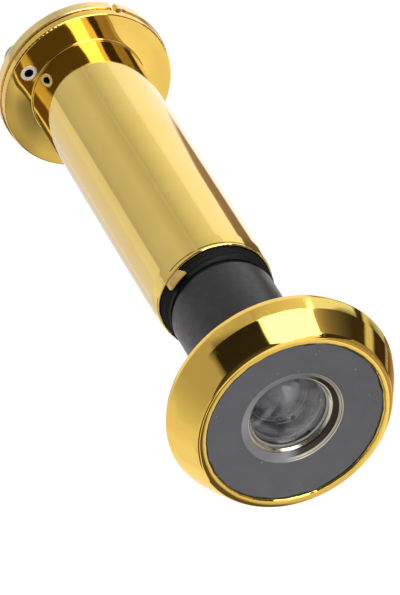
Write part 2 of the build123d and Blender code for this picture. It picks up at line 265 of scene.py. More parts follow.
def turned(name, outline, segments, wobble=None):
    """Turn a closed outline round the viewing axis. The wobble moves points a little."""
    shape = bmesh.new()
    loops = []
    for index in range(segments):
        turn = 2 * math.pi * index / segments
        loop = []
        for radius, y in outline:
            out, along = wobble(radius, y, turn) if wobble else (0, 0)
            loop.append(shape.verts.new(on_axis(radius + out, y + along, turn)))
        loops.append(loop)
    return skinned(name, shape, loops, closed=True)


def thread_point(line, turn):
    """A point on one corner line of the helical ridge, which fades at both ends."""
    ridge, corner = divmod(line, RIDGE_LINES)
    offset = (0, THREAD_FLANK, THREAD_FLANK + THREAD_LAND, 2 * THREAD_FLANK + THREAD_LAND)[corner]
    turns = ridge + turn / (2 * math.pi)
    y = THREAD_START_Y + THREAD_RUN_IN + THREAD_PITCH * turns + offset
    if corner in (0, RIDGE_LINES - 1):
        return on_axis(THREAD_ROOT_RADIUS, y, turn)
    share = max(0, min(1, turns / THREAD_FADE_TURNS, (THREAD_TURNS - turns) / THREAD_FADE_TURNS))
    return on_axis(THREAD_ROOT_RADIUS + (THREAD_CREST_RADIUS - THREAD_ROOT_RADIUS) * share, y, turn)


def plain_barrel(shape, turns):
    """The barrel without its thread, from the thread's inner end round the bore and front to its start."""
    outline = rounded([
        (THREAD_ROOT_RADIUS, BARREL_END_Y),
        (BARREL_BORE_RADIUS, BARREL_END_Y),
        (BARREL_BORE_RADIUS, BARREL_FRONT_Y),
        (PLATE_RADIUS, BARREL_FRONT_Y),
        (PLATE_RADIUS, BARREL_FLANGE_BACK_Y),
        (NECK_RADIUS, BARREL_FLANGE_BACK_Y),
        (NECK_RADIUS, NECK_END_Y, NECK_ROUND),
        (RELIEF_RADIUS, NECK_END_Y),
        (RELIEF_RADIUS, THREAD_START_Y),
        (THREAD_ROOT_RADIUS, THREAD_START_Y),
    ])
    loops = [[shape.verts.new(on_axis(*spot, turn)) for spot in outline] for turn in turns[:-1]]
    loops.append(loops[0])
    for here, there in zip(loops, loops[1:]):
        for spot in range(len(outline) - 1):
            shape.faces.new((here[spot], here[spot + 1], there[spot + 1], there[spot]))
    return loops


def thread(shape, turns):
    """The helical ridge. After one turn each line goes on as the same line of the next ridge."""
    grid = {}
    for line in range(LAST_LINE + 1):
        for index, turn in enumerate(turns[:-1]):
            grid[line, index] = shape.verts.new(thread_point(line, turn))
    for line in range(LAST_LINE + 1):
        ahead = line + RIDGE_LINES
        fresh = thread_point(line, turns[-1])
        grid[line, BARREL_SEGMENTS] = grid[ahead, 0] if ahead <= LAST_LINE else shape.verts.new(fresh)
    for line in range(LAST_LINE):
        for index in range(BARREL_SEGMENTS):
            corners = ((line, index), (line + 1, index), (line + 1, index + 1), (line, index + 1))
            shape.faces.new([grid[corner] for corner in corners])
    return grid


def make_barrel():
    """Barrel with its flange, smooth neck and one real helical thread, as a closed mesh."""
    turns = [2 * math.pi * index / BARREL_SEGMENTS for index in range(BARREL_SEGMENTS + 1)]
    shape = bmesh.new()
    plain = plain_barrel(shape, turns)
    grid = thread(shape, turns)
    for index in range(BARREL_SEGMENTS):
        start, start_next = plain[index][-1], plain[index + 1][-1]
        shape.faces.new((start, start_next, grid[0, index + 1], grid[0, index]))
        end, end_next = plain[index][0], plain[index + 1][0]
        shape.faces.new((grid[LAST_LINE, index], grid[LAST_LINE, index + 1], end_next, end))
    first_ridge = [grid[line, 0] for line in range(RIDGE_LINES, -1, -1)]
    shape.faces.new([plain[0][-1]] + first_ridge)
    last_ridge = [grid[line, BARREL_SEGMENTS] for line in range(LAST_LINE - RIDGE_LINES, LAST_LINE + 1)]
    shape.faces.new([plain[0][0]] + last_ridge)
    return finished("threaded_barrel", shape)


def lip_burr(radius, y, turn):
    """The rolled edge of the lip is slightly uneven."""
    if not BURR_RADII[0] <= radius <= BURR_RADII[1]:
        return 0, 0
    place = Vector((math.sin(turn), math.cos(turn), 0))
    rise = noise.noise(place * BURR_COARSE) + BURR_FINE_SHARE * noise.noise(place * BURR_FINE)
    return BURR * rise, 0


def make_bezel():
    """Polished bezel with its bevel, its narrow outer band and the lip rolled over the plate."""
    outline = rounded([
        (LIP_INNER_RADIUS, FACE_Y),
        (LIP_INNER_RADIUS, FACE_Y - LIP_HEIGHT, LIP_INNER_ROUND),
        (LIP_OUTER_RADIUS, FACE_Y - LIP_HEIGHT, LIP_OUTER_ROUND),
        (BEVEL_OUTER_RADIUS, FACE_Y + BEVEL_OUTER_DEPTH, BEVEL_OUTER_ROUND),
        (BEZEL_RADIUS, FACE_Y + BEZEL_WIDEST_DEPTH, BEZEL_WIDEST_ROUND),
        (BEZEL_BACK_RADIUS, BEZEL_BACK_Y, BEZEL_BACK_ROUND),
        (BACK_RECESS_RADIUS, BEZEL_BACK_Y),
        (BACK_RECESS_RADIUS, BACK_RECESS_Y),
        (NECK_RADIUS + NECK_FIT, BACK_RECESS_Y),
        (NECK_RADIUS + NECK_FIT, BARREL_FLANGE_BACK_Y),
        (SEAT_RADIUS, BARREL_FLANGE_BACK_Y),
        (SEAT_RADIUS, FACE_Y),
    ])
    return turned("polished_bezel", outline, BEZEL_SEGMENTS, lip_burr)


def rise_round(turn, height, middle, width):
    """A smooth rise round one angle. Its middle and width are in degrees."""
    away = (math.degrees(turn) - middle + 180) % 360 - 180
    return height * math.exp(-((away / width) ** 2))


def mouth_wobble(radius, y, turn):
    """The tube's end isn't quite square, and its edge is a little rough."""
    share = min(1, max(0, (MOUTH_Y + MOUTH_ROUGH_LENGTH - y) / MOUTH_ROUGH_LENGTH))
    place = Vector((math.sin(turn), math.cos(turn), 0.5))
    rough = sum(size * noise.noise(place * often) for size, often in MOUTH_ROUGHNESS)
    along = sum(rise_round(turn, *rise) for rise in MOUTH_RISES) + rough
    return MOUTH_ROUGH_OUT_SHARE * rough * share, along * share


def make_tube():
    """Plated tube whose end is turned in a little at the mouth."""
    outline = rounded([
        (TUBE_BORE_RADIUS, TUBE_SEAT_Y),
        (TUBE_SEAT_RADIUS, TUBE_SEAT_Y),
        (TUBE_SEAT_RADIUS, TUBE_SEAT_FRONT_Y),
        (TUBE_RADIUS, TUBE_ROOT_Y),
        (TUBE_RADIUS, MOUTH_Y + MOUTH_TAPER, MOUTH_SHOULDER_ROUND),
        (MOUTH_RADIUS, MOUTH_Y, MOUTH_ROUND),
        (TUBE_BORE_RADIUS + MOUTH_CHAMFER[0], MOUTH_Y, MOUTH_INNER_ROUND),
        (TUBE_BORE_RADIUS, MOUTH_Y + MOUTH_CHAMFER[1]),
    ])
    return turned("plated_tube", outline, TUBE_SEGMENTS, mouth_wobble)


def tongue_spot(across, along, depth):
    """A point of the tongue. Across runs from -1 to 1, along from root to tip, depth from 0 to 1."""
    y = TONGUE_ROOT_Y + (TONGUE_TIP_Y - TONGUE_ROOT_Y) * along
    lean = TONGUE_LEAN * max(0, (MOUTH_Y - y) / (MOUTH_Y - TONGUE_TIP_Y))
    near_tip = max(0, TONGUE_ROUND - (y - TONGUE_TIP_Y))
    curve = TONGUE_ROUND - math.sqrt(max(0, TONGUE_ROUND**2 - near_tip**2))
    left = -TONGUE_HALF_WIDTH + curve
    right = TONGUE_HALF_WIDTH + lean - curve * TONGUE_RIGHT_ROUND_SHARE
    arc = left + (right - left) * (across + 1) / 2
    crease = TONGUE_CREASE_DEPTH * math.exp(-(((y - TONGUE_CREASE_Y) / TONGUE_CREASE_WIDTH) ** 2))
    outer = TONGUE_OUTER_RADIUS - crease - TONGUE_BEND * max(0, along - TONGUE_BEND_START)
    radius = outer + (TONGUE_INNER_RADIUS - outer) * depth
    return on_axis(radius, y, math.radians(TONGUE_ANGLE) + arc / TUBE_BORE_RADIUS)


def make_tongue():
    """Hooked tongue with a crease at its root, bent in a little towards the thread."""
    shape = bmesh.new()
    wide, long = TONGUE_GRID
    sheets = []
    for depth in (0, 1):
        sheets.append([
            [shape.verts.new(tongue_spot(2 * i / wide - 1, j / long, depth)) for i in range(wide + 1)]
            for j in range(long + 1)
        ])
    for sheet in sheets:
        for j in range(long):
            for i in range(wide):
                shape.faces.new((sheet[j][i], sheet[j][i + 1], sheet[j + 1][i + 1], sheet[j + 1][i]))
    rim = [(0, i) for i in range(wide)]
    rim += [(j, wide) for j in range(long)]
    rim += [(long, wide - i) for i in range(wide)]
    rim += [(long - j, 0) for j in range(long)]
    outer, inner = sheets
    for (j0, i0), (j1, i1) in zip(rim, rim[1:] + rim[:1]):
        shape.faces.new((outer[j0][i0], outer[j1][i1], inner[j1][i1], inner[j0][i0]))
    return finished("tube_tongue", shape)


def make_cover_lip():
    """Edge of the pressed cover, turned down to the flange and open at the notch."""
    outline = rounded([
        (COVER_LIP_RADIUS, COVER_INNER_Y + COVER_LIP_ROOT),
        (COVER_LIP_RADIUS, COVER_LIP_Y, COVER_LIP_ROUNDS[0]),
        (COVER_RADIUS + COVER_LIP_PROUD, COVER_LIP_Y, COVER_LIP_ROUNDS[1]),
        (COVER_RADIUS + COVER_LIP_PROUD, COVER_INNER_Y + COVER_LIP_OVERLAP),
        (COVER_RADIUS - COVER_LIP_SINK, COVER_INNER_Y + COVER_LIP_OVERLAP),
    ])
    start, end = NOTCH_ANGLES[1], NOTCH_ANGLES[0] + 360
    shape = bmesh.new()
    loops = []
    for step in range(COVER_LIP_STEPS + 1):
        turn = math.radians(start + (end - start) * step / COVER_LIP_STEPS)
        loops.append([shape.verts.new(on_axis(radius, y, turn)) for radius, y in outline])
    return skinned("cover_lip", shape, loops, closed=False)


def make_rivet():
    """Hollow pivot rivet, rolled out into the flange and with a domed head over the cover."""
    rivet = turned("domed_rivet", rounded([
        (RIVET_BORE_RADIUS, RIVET_ROLL_Y, RIVET_BORE_ROUND),
        (RIVET_ROLL_RADIUS, RIVET_ROLL_Y, RIVET_ROLL_ROUND),
        (RIVET_ROLL_RADIUS, RIVET_ROLL_END_Y),
        (RIVET_SHANK_RADIUS, RIVET_ROLL_END_Y),
        (RIVET_SHANK_RADIUS, RIVET_HEAD_Y),
        (RIVET_HEAD_RADIUS, RIVET_HEAD_Y, RIVET_HEAD_ROUND),
        (RIVET_HEAD_RADIUS, RIVET_TOP_Y, RIVET_DOME_ROUND),
        (AXIS_RADIUS, RIVET_TOP_Y),
        (AXIS_RADIUS, RIVET_BORE_END_Y),
        (RIVET_BORE_RADIUS, RIVET_BORE_END_Y),
    ]), RIVET_SEGMENTS)
    rivet.data.transform(Matrix.Translation((0, 0, PIVOT_HEIGHT * MM)))
    return rivet


def make_stop_tab():
    """Stop staked in the flange. Beyond the flange it widens to an oval that fills the cover's notch."""
    angle = math.radians(STOP_ANGLE)
    middle = Vector((STOP_DISTANCE * math.sin(angle), STOP_DISTANCE * math.cos(angle)))
    arm = middle - Vector((0, PIVOT_HEIGHT))
    way = Vector((-arm.y, arm.x)).normalized()
    side = Vector((way.y, -way.x))
    levels = [(y, 0, STOP_END_RADIUS) for y in (STOP_START_Y, STOP_LEDGE[0])]
    levels.append((STOP_LEDGE[1], STOP_REACH, STOP_RADIUS))
    levels += [(STOP_TIP_Y - depth, STOP_REACH, STOP_RADIUS * share) for depth, share in STOP_CROWN]
    shape = bmesh.new()
    loops = []
    for y, reach, radius in levels:
        loop = []
        for step in range(STOP_SEGMENTS):
            turn = 2 * math.pi * step / STOP_SEGMENTS
            along = radius * math.cos(turn) + (reach if math.cos(turn) > 0 else 0)
            spot = middle + way * along + side * radius * math.sin(turn)
            loop.append(shape.verts.new(Vector((spot.x, y, spot.y)) * MM))
        loops.append(loop)
    return skinned("stop_tab", shape, loops, closed=False)


# Node trees

class Nodes:
    """A node tree under construction, with short calls for the nodes it needs."""

    def __init__(self, tree):
        self.tree = tree

    def node(self, kind, **values):
        node = self.tree.nodes.new(kind)
        for key, value in values.items():
            setattr(node, key, value)
        return node

    def join(self, source, target):
        self.tree.links.new(source, target)

    def place(self):
        return self.node("ShaderNodeTexCoord").outputs["Object"]

    def split(self, vector):
        """The X, Y and Z outputs of a vector."""
        parts = self.node("ShaderNodeSeparateXYZ")
        self.join(vector, parts.inputs[0])
        return parts.outputs

    def ramp(self, source, start, end, low=0.0, high=1.0):
        """Goes from low to high while the source goes from start to end."""
        made = self.node("ShaderNodeMapRange")
        for key, value in zip(("From Min", "From Max", "To Min", "To Max"), (start, end, low, high)):
            made.inputs[key].default_value = value
        self.join(source, made.inputs["Value"])
        return made.outputs[0]

    def sums(self, operation, *values):
        made = self.node("ShaderNodeMath", operation=operation)
        for socket, value in zip(made.inputs, values):
            if isinstance(value, (int, float)):
                socket.default_value = value
            else:
                self.join(value, socket)
        return made.outputs[0]

    def glow(self, kind, colour, strength):
        made = self.node(kind)
        made.inputs["Color"].default_value = (*colour, 1)
        if isinstance(strength, (int, float)):
            made.inputs["Strength"].default_value = strength
        else:
            self.join(strength, made.inputs["Strength"])
        return made.outputs[0]

    def mixed(self, factor, first, second):
        """The first shader where the factor is 0, and the second where it is 1."""
        made = self.node("ShaderNodeMixShader")
        for source, socket in zip((factor, first, second), made.inputs):
            self.join(source, socket)
        return made.outputs[0]

    def seen_directly(self):
        """1 for rays from the camera, from glossy surfaces and through glass, and 0 for the rest."""
        path = self.node("ShaderNodeLightPath").outputs
        seen = self.sums("MAXIMUM", path["Is Camera Ray"], path["Is Glossy Ray"])
        return self.sums("MAXIMUM", seen, path["Is Transmission Ray"])

    def output(self, kind, source):
        self.join(source, self.node(kind).inputs[0])


# Materials

LENS_CLEAR_RADIUS = 4.15
FLANGE_DISH_RADII = (8.0, 10.6)
FLANGE_DISH_DEPTH = 0.06
EDGE_LINE_Y = -50.45
EDGE_LINE_REACH = 0.12
EDGE_LINE_CORE = 0.04
LIP_SHADOW_RADIUS = 11.74
SOFT_CLOUDS = (0.3, 0.7)
CRISP_CLOUDS = (0.35, 0.65)

# Light and deep tones of the golds
TUBE_TONES = ((0.91, 0.68, 0.19), (0.89, 0.65, 0.17))
FACE_TONES = ((0.9, 0.61, 0.13), (0.89, 0.58, 0.115))
COVER_TONES = ((0.93, 0.7, 0.3), (0.91, 0.67, 0.27))
GOLD_EDGE_TINT = (0.95, 0.86, 0.6, 1)

# Chamfer of the front plate, with painted reflections on its lower side: the radii where its rings start
# and their colours. Inside the first radius lies a painted shade line; then come a painted brass-coloured
# reflection, a second painted shade line and a painted white highlight.
CHAMFER_RADIUS = 6.72
CHAMFER_GREY = (0.3, 0.305, 0.335)
CHAMFER_PAINTED_SHADE = (0.05, 0.04, 0.035)
CHAMFER_RINGS = ((6.2, (0.7, 0.58, 0.42)), (6.46, (0.22, 0.19, 0.17)), (6.56, (0.85, 0.83, 0.8)))
CHAMFER_RING_SOFTNESS = 0.04


class Look(Nodes):
    """A surface material under construction, in millimetres and in features per millimetre."""

    def __init__(self, name):
        self.material = bpy.data.materials.new(name)
        self.material.use_nodes = True
        super().__init__(self.material.node_tree)
        self.shader = self.tree.nodes["Principled BSDF"]
        self.here = self.place()

    def set(self, **values):
        for key, value in values.items():
            self.shader.inputs[key.replace("_", " ")].default_value = value

    def scaled(self, factors):
        mapping = self.node("ShaderNodeMapping")
        mapping.inputs["Scale"].default_value = factors
        self.join(self.here, mapping.inputs["Vector"])
        return mapping.outputs[0]

    def noise(self, scale, detail=2.0, stretch=(1, 1, 1)):
        """Noise value from 0 to 1."""
        made = self.node("ShaderNodeTexNoise")
        made.inputs["Scale"].default_value = 1
        made.inputs["Detail"].default_value = detail
        self.join(self.scaled([scale / MM * part for part in stretch]), made.inputs["Vector"])
        return made.outputs["Fac"]

    def clouds(self, scale, detail, low=0.0, high=1.0, edges=SOFT_CLOUDS):
        """Soft clouds between two values."""
        return self.ramp(self.noise(scale, detail), *edges, low, high)

    def specks(self, scale, size):
        """Small round specks, 1 inside and 0 outside."""
        cells = self.node("ShaderNodeTexVoronoi")
        cells.inputs["Scale"].default_value = 1
        self.join(self.scaled([scale / MM] * 3), cells.inputs["Vector"])
        return self.ramp(cells.outputs["Distance"], size, size * 0.6)

    def along(self, axis):
        """The place along one axis, in millimetres."""
        return self.sums("DIVIDE", self.split(self.here)[axis], MM)

    def radius(self, height=0.0):
        """Distance from the viewing axis, or from a line above it, in millimetres."""
        parts = self.split(self.here)
        flat = self.node("ShaderNodeCombineXYZ")
        self.join(parts["X"], flat.inputs["X"])
        self.join(self.sums("SUBTRACT", parts["Z"], height * MM), flat.inputs["Z"])
        length = self.node("ShaderNodeVectorMath", operation="LENGTH")
        self.join(flat.outputs[0], length.inputs[0])
        return self.sums("DIVIDE", length.outputs["Value"], MM)

    def blend(self, factor, first, second):
        """The first colour where the factor is 0, and the second where it is 1."""
        made = self.node("ShaderNodeMix", data_type="RGBA")
        self.join(factor, made.inputs[0])
        for socket, value in zip(made.inputs[6:8], (first, second)):
            if isinstance(value, tuple):
                socket.default_value = (*value, 1)
            else:
                self.join(value, socket)
        return made.outputs[2]

    def bump(self, height, distance, normal=None):
        made = self.node("ShaderNodeBump")
        made.inputs["Strength"].default_value = 1
        made.inputs["Distance"].default_value = distance * MM
        self.join(height, made.inputs["Height"])
        if normal:
            self.join(normal, made.inputs["Normal"])
        return made.outputs[0]

    def colour(self, source):
        self.join(source, self.shader.inputs["Base Color"])

    def roughness(self, source):
        self.join(source, self.shader.inputs["Roughness"])

    def metallic(self, source):
        self.join(source, self.shader.inputs["Metallic"])

    def grain(self, scale, detail, depth, normal=None):
        """Fine unevenness of the surface."""
        self.join(self.bump(self.noise(scale, detail), depth, normal), self.shader.inputs["Normal"])


def broken_line(look):
    """A thin broken line round the tube, near its mouth."""
    start = look.ramp(look.along("Y"), EDGE_LINE_Y + EDGE_LINE_REACH, EDGE_LINE_Y + EDGE_LINE_CORE)
    end = look.ramp(look.along("Y"), EDGE_LINE_Y - EDGE_LINE_REACH, EDGE_LINE_Y - EDGE_LINE_CORE)
    broken = look.ramp(look.noise(0.45, 2), start=0.42, end=0.5)
    return look.sums("MULTIPLY", look.sums("MULTIPLY", start, end), broken)


def gold(
    name, light, deep, lacquer=0.5, wave_scale=0.28, wave_depth=0.012, edge_tint=None, dished=False,
    edge_line=False,
):
    """Mirror-polished gold plating under clear lacquer, with faint waves, specks and scratches."""
    speck_brown = (0.5, 0.34, 0.12)
    line_brown = (0.1, 0.06, 0.02)
    look = Look(name)
    look.set(Metallic=1.0, Coat_Weight=lacquer, Coat_Roughness=0.04, Coat_IOR=1.5)
    if edge_tint:
        look.set(Specular_Tint=edge_tint)
    plating = look.blend(look.clouds(0.12, 3, edges=CRISP_CLOUDS), light, deep)
    specks = look.sums("MULTIPLY", look.specks(scale=0.35, size=0.05), 0.4)
    plating = look.blend(specks, plating, speck_brown)
    if edge_line:
        plating = look.blend(broken_line(look), plating, line_brown)
    look.colour(plating)
    scratches = look.ramp(look.noise(2.2, 1, stretch=(1, 0.05, 1)), start=0.62, end=0.7, high=0.06)
    look.roughness(look.sums("ADD", look.clouds(0.6, 4, low=0.03, high=0.08), scratches))
    normal = look.bump(look.noise(wave_scale, 0), wave_depth)
    if dished:
        near_root = look.ramp(look.radius(), FLANGE_DISH_RADII[1], FLANGE_DISH_RADII[0])
        normal = look.bump(look.sums("POWER", near_root, 2), FLANGE_DISH_DEPTH, normal)
    look.grain(6, 2, 0.0006, normal)
    return look.material


def tube_gold():
    return gold("tube_gold", *TUBE_TONES, edge_line=True)


def bezel_gold():
    """Thinly lacquered gold with broad waves, tinted where it is seen at a low angle."""
    return gold(
        "bezel_gold", *FACE_TONES, lacquer=0.2, wave_scale=0.36, wave_depth=0.04, edge_tint=GOLD_EDGE_TINT,
    )


def flange_gold():
    return gold("flange_gold", *FACE_TONES, lacquer=0.3, wave_scale=0.2, wave_depth=0.09, dished=True)


def cover_gold():
    return gold("cover_gold", *COVER_TONES, lacquer=0.8)


def tongue_gold():
    """The tongue's gold, with painted shade in brown at its bent root and darker painted shade at its tip,
    and a little stained.
    """
    clean = (0.82, 0.56, 0.17)
    shaded_tone = (0.5, 0.36, 0.09)
    brown = (0.5, 0.27, 0.09)
    stain = (0.55, 0.3, 0.08)
    look = Look("tongue_gold")
    look.set(Metallic=1.0, Coat_Weight=0.2, Coat_Roughness=0.06, Coat_IOR=1.5)
    # Painted shade: brown at the crease of the root, and a darker gold towards the tip.
    root = look.ramp(look.along("Y"), TONGUE_CREASE_Y - 0.25, TONGUE_CREASE_Y + 0.1)
    tip = look.ramp(look.along("Y"), TONGUE_TIP_Y + 0.5, TONGUE_TIP_Y)
    metal = look.blend(root, look.blend(tip, clean, shaded_tone), brown)
    look.colour(look.blend(look.clouds(1.2, 3, high=0.4, edges=CRISP_CLOUDS), metal, stain))
    look.roughness(look.clouds(1.5, 4, low=0.1, high=0.2))
    look.grain(1.1, 2, 0.02)
    return look.material


def black_finish():
    """Satin black, darker and duller from the neck's end inwards, where the thread is."""
    look = Look("black_finish")
    look.set(Specular_IOR_Level=0.3)
    satin = look.blend(look.clouds(0.8, 5), (0.013, 0.013, 0.017), (0.022, 0.021, 0.026))
    threaded = look.ramp(look.along("Y"), NECK_END_Y - 0.05, NECK_END_Y)
    look.colour(look.blend(threaded, satin, (0.004, 0.004, 0.005)))
    sheen = look.clouds(1.5, 4, low=0.3, high=0.42)
    look.roughness(look.sums("ADD", sheen, look.sums("MULTIPLY", threaded, 0.2)))
    look.grain(5, 3, 0.004)
    return look.material


def chamfer_painted_reflections(look):
    """Grey bare metal, with painted reflections in rings on the chamfer's lower side: painted shade lines,
    a painted brass-coloured reflection and a painted white highlight.
    """
    radius = look.radius()
    rings = CHAMFER_PAINTED_SHADE
    for start, colour in CHAMFER_RINGS:
        rings = look.blend(look.ramp(radius, start, start + CHAMFER_RING_SOFTNESS), rings, colour)
    # The painted shade, reflection and highlight rings go on the chamfer's lower side only.
    below = look.sums("SUBTRACT", look.sums("MULTIPLY", look.along("X"), 0.3), look.along("Z"))
    reflecting_side = look.ramp(look.sums("ADD", below, look.noise(0.5, 2)), start=1.0, end=3.2)
    return look.blend(reflecting_side, CHAMFER_GREY, rings)


def plate_grey():
    """Matt anthracite plate, with a painted shadow where the lip closes on it, and a bare chamfer round its
    hole that carries painted reflections on its lower side.
    """
    fleck_grey = (0.3, 0.3, 0.31)
    shadow = (0.008, 0.006, 0.004)
    look = Look("plate_grey")
    paint = look.blend(look.clouds(0.5, 5), (0.098, 0.1, 0.11), (0.112, 0.114, 0.125))
    paint = look.blend(look.specks(scale=0.6, size=0.07), paint, fleck_grey)
    bare = look.ramp(look.radius(), CHAMFER_RADIUS, CHAMFER_RADIUS - 0.05)
    # Painted shadow where the bezel's lip closes on the plate, with a ragged edge.
    edge = look.sums("ADD", look.radius(), look.sums("MULTIPLY", look.noise(0.5, 2), 0.6))
    paint = look.blend(look.ramp(edge, LIP_SHADOW_RADIUS, LIP_SHADOW_RADIUS + 0.06), paint, shadow)
    # The chamfer round the hole takes its grey and its painted reflection, highlight and shade rings.
    look.colour(look.blend(bare, paint, chamfer_painted_reflections(look)))
    matt = look.clouds(2, 4, low=0.48, high=0.6)
    look.roughness(look.sums("SUBTRACT", matt, look.sums("MULTIPLY", bare, 0.2)))
    look.metallic(look.sums("MULTIPLY", bare, 0.65))
    look.grain(8, 3, 0.004)
    return look.material


def lens_glass(name, clearest, haziest):
    """Moulded lens with a trace of haze, and ground where it is flat or bears on the barrel."""
    look = Look(name)
    look.set(IOR=1.6)
    facing = look.split(look.node("ShaderNodeNewGeometry").outputs["Normal"])["Y"]
    steep = look.sums("ABSOLUTE", facing)
    flat = look.ramp(steep, start=0.99, end=0.998)
    side = look.ramp(steep, start=0.1, end=0.05)
    rim = look.ramp(look.radius(), LENS_CLEAR_RADIUS, LENS_CLEAR_RADIUS + 0.05)
    ground = look.sums("MULTIPLY", look.sums("MAXIMUM", flat, side), rim)
    swirls = look.noise(0.45, 3, stretch=(1, 1, 0.6))
    haze = look.ramp(swirls, start=0.45, end=0.62, low=clearest, high=haziest)
    through = look.sums("SUBTRACT", haze, look.sums("MULTIPLY", ground, 0.6))
    look.join(through, look.shader.inputs["Transmission Weight"])
    look.colour(look.blend(ground, (0.72, 0.72, 0.77), (0.8, 0.8, 0.82)))
    smudges = look.clouds(1.2, 3, high=0.05, edges=(0.55, 0.8))
    look.roughness(look.sums("ADD", smudges, look.sums("MULTIPLY", ground, 0.4)))
    return look.material


def lens_brass():
    look = Look("lens_brass")
    look.set(Metallic=1.0)
    look.colour(look.blend(look.clouds(0.9, 4), (0.8, 0.72, 0.58), (0.66, 0.58, 0.44)))
    look.roughness(look.clouds(2, 3, low=0.16, high=0.3))
    look.grain(9, 2, 0.002)
    return look.material


def rivet_nickel():
    """Nickel, painted whiter and partly matt on the rolled-over end as a painted highlight, painted darker
    on the head as painted shade, and with painted shade in the bore.
    """
    dark = (0.02, 0.02, 0.025)
    look = Look("rivet_nickel")
    tone = look.clouds(1.4, 4)
    head = look.ramp(look.along("Y"), start=1.0, end=RIVET_BORE_END_Y)
    # Painted highlight on the rolled end and painted shade on the head: one nickel in a lit and a shaded
    # tone.
    lit_tone = look.blend(tone, (0.93, 0.93, 0.93), (0.84, 0.84, 0.85))
    shaded_tone = look.blend(tone, (0.5, 0.48, 0.45), (0.42, 0.4, 0.38))
    # Painted shade inside the bore, towards its open end.
    bore = look.ramp(look.radius(PIVOT_HEIGHT), RIVET_BORE_RADIUS + 0.06, RIVET_BORE_RADIUS + 0.01)
    inside = look.sums("MULTIPLY", bore, look.sums("SUBTRACT", 1.0, head))
    look.colour(look.blend(inside, look.blend(head, lit_tone, shaded_tone), dark))
    # The rolled end is partly matt, so that its painted highlight shows.
    look.metallic(look.ramp(head, start=0, end=1, low=0.45))
    look.roughness(look.clouds(3, 3, low=0.3, high=0.45))
    look.grain(7, 2, 0.004)
    return look.material


def washer_steel():
    look = Look("washer_steel")
    look.set(Metallic=1.0)
    look.colour(look.blend(look.clouds(1.1, 4), (0.6, 0.59, 0.57), (0.5, 0.49, 0.48)))
    look.roughness(look.clouds(3, 4, low=0.25, high=0.4))
    look.grain(7, 2, 0.004)
    return look.material


def spacer_black():
    look = Look("spacer_black")
    look.colour(look.blend(look.clouds(1.0, 4), (0.01, 0.01, 0.011), (0.018, 0.018, 0.019)))
    look.roughness(look.clouds(2.5, 4, low=0.4, high=0.6))
    look.grain(6, 3, 0.006)
    return look.material


def seal_rubber():
    look = Look("seal_rubber")
    look.colour(look.blend(look.clouds(1.3, 4), (0.018, 0.018, 0.018), (0.03, 0.03, 0.03)))
    look.roughness(look.clouds(3, 4, low=0.6, high=0.8))
    look.grain(8, 3, 0.01)
    return look.material


# Studio, in metres

WHITE = (1, 1, 1)
WARM = (1.0, 0.98, 0.9)
CREAM = (1, 0.97, 0.86)
BEIGE = (1.0, 0.9, 0.8)
SAND = (1.0, 0.85, 0.7)
BROWN = (1.0, 0.7, 0.5)
ORANGE = (1.0, 0.62, 0.32)
PINK = (1.0, 0.95, 0.98)
COOL = (0.74, 0.85, 1.0)

WORLD_LIGHT = 0.75
WORLD_SEEN = 1.0
LAMP_TARGET = Vector((0, -0.04, 0))

FLOOR_Z = -0.062
FLOOR_REACH = 2.5
FLOOR_GREY = (0.9, 0.9, 0.9, 1)
FLOOR_GLOW = 0.3

SOFTBOX_X = 0.6
SOFTBOX_STRENGTH = 3.6
SIDE_WALL_X = 0.62
FAR_WALL_Y = 0.95
FRONT_WALL_Y = -1.2
TABLE_Z = -0.06
TABLE_STEP = 0.0002

FLAG_Z = 0.5
CEILING_NEAR_Z = 0.515
CEILING_Z = 0.52
CEILING_X = (-2.0, 2.5)
CEILING_Y = (-1.2, 4.0)
CEILING_STOPS = (
    (-2.0, 1.0), (-1.35, 0.93), (-0.7, 0.87), (-0.31, 0.8), (-0.275, 0.51),
    (-0.1, 0.6), (0.2, 0.66), (0.36, 0.59), (0.5, 0.55), (0.65, 0.64), (1.0, 0.68), (2.5, 0.82),
)
CEILING_DIM = 0.8
CEILING_DIM_Y = (-0.06, 0.07)


def empty_material(name):
    """A material without nodes, and short calls for its tree."""
    made = bpy.data.materials.new(name)
    made.use_nodes = True
    made.node_tree.nodes.clear()
    return made, Nodes(made.node_tree)


def fading(axis, start, end, low, high):
    """A strength that goes from low to high between two places along one axis."""
    return lambda nodes: nodes.ramp(nodes.split(nodes.place())[axis], start, end, low, high)


def glow_material(name, colour, strength):
    """Glow that fades out at the card's rim. The strength is a number or a function that makes nodes."""
    made, nodes = empty_material(name)
    glow = nodes.glow("ShaderNodeEmission", colour, strength(nodes) if callable(strength) else strength)
    cover = nodes.node("ShaderNodeAttribute", attribute_name="cover")
    clear = nodes.node("ShaderNodeBsdfTransparent")
    soft = nodes.mixed(cover.outputs["Fac"], clear.outputs[0], glow)
    nodes.output("ShaderNodeOutputMaterial", soft)
    return made


def grown(corners, distance):
    """The flat outline with each edge moved outwards by a distance."""
    spots = [Vector(corner) for corner in corners]
    pairs = list(zip(spots, spots[1:] + spots[:1]))
    turn = 1 if sum(here.cross(there) for here, there in pairs) > 0 else -1
    outwards = [Vector((there.y - here.y, here.x - there.x)).normalized() * turn for here, there in pairs]
    moved = []
    for index, spot in enumerate(spots):
        before, after = outwards[index - 1], outwards[index]
        moved.append(spot + (before + after) / (1 + before.dot(after)) * distance)
    return moved


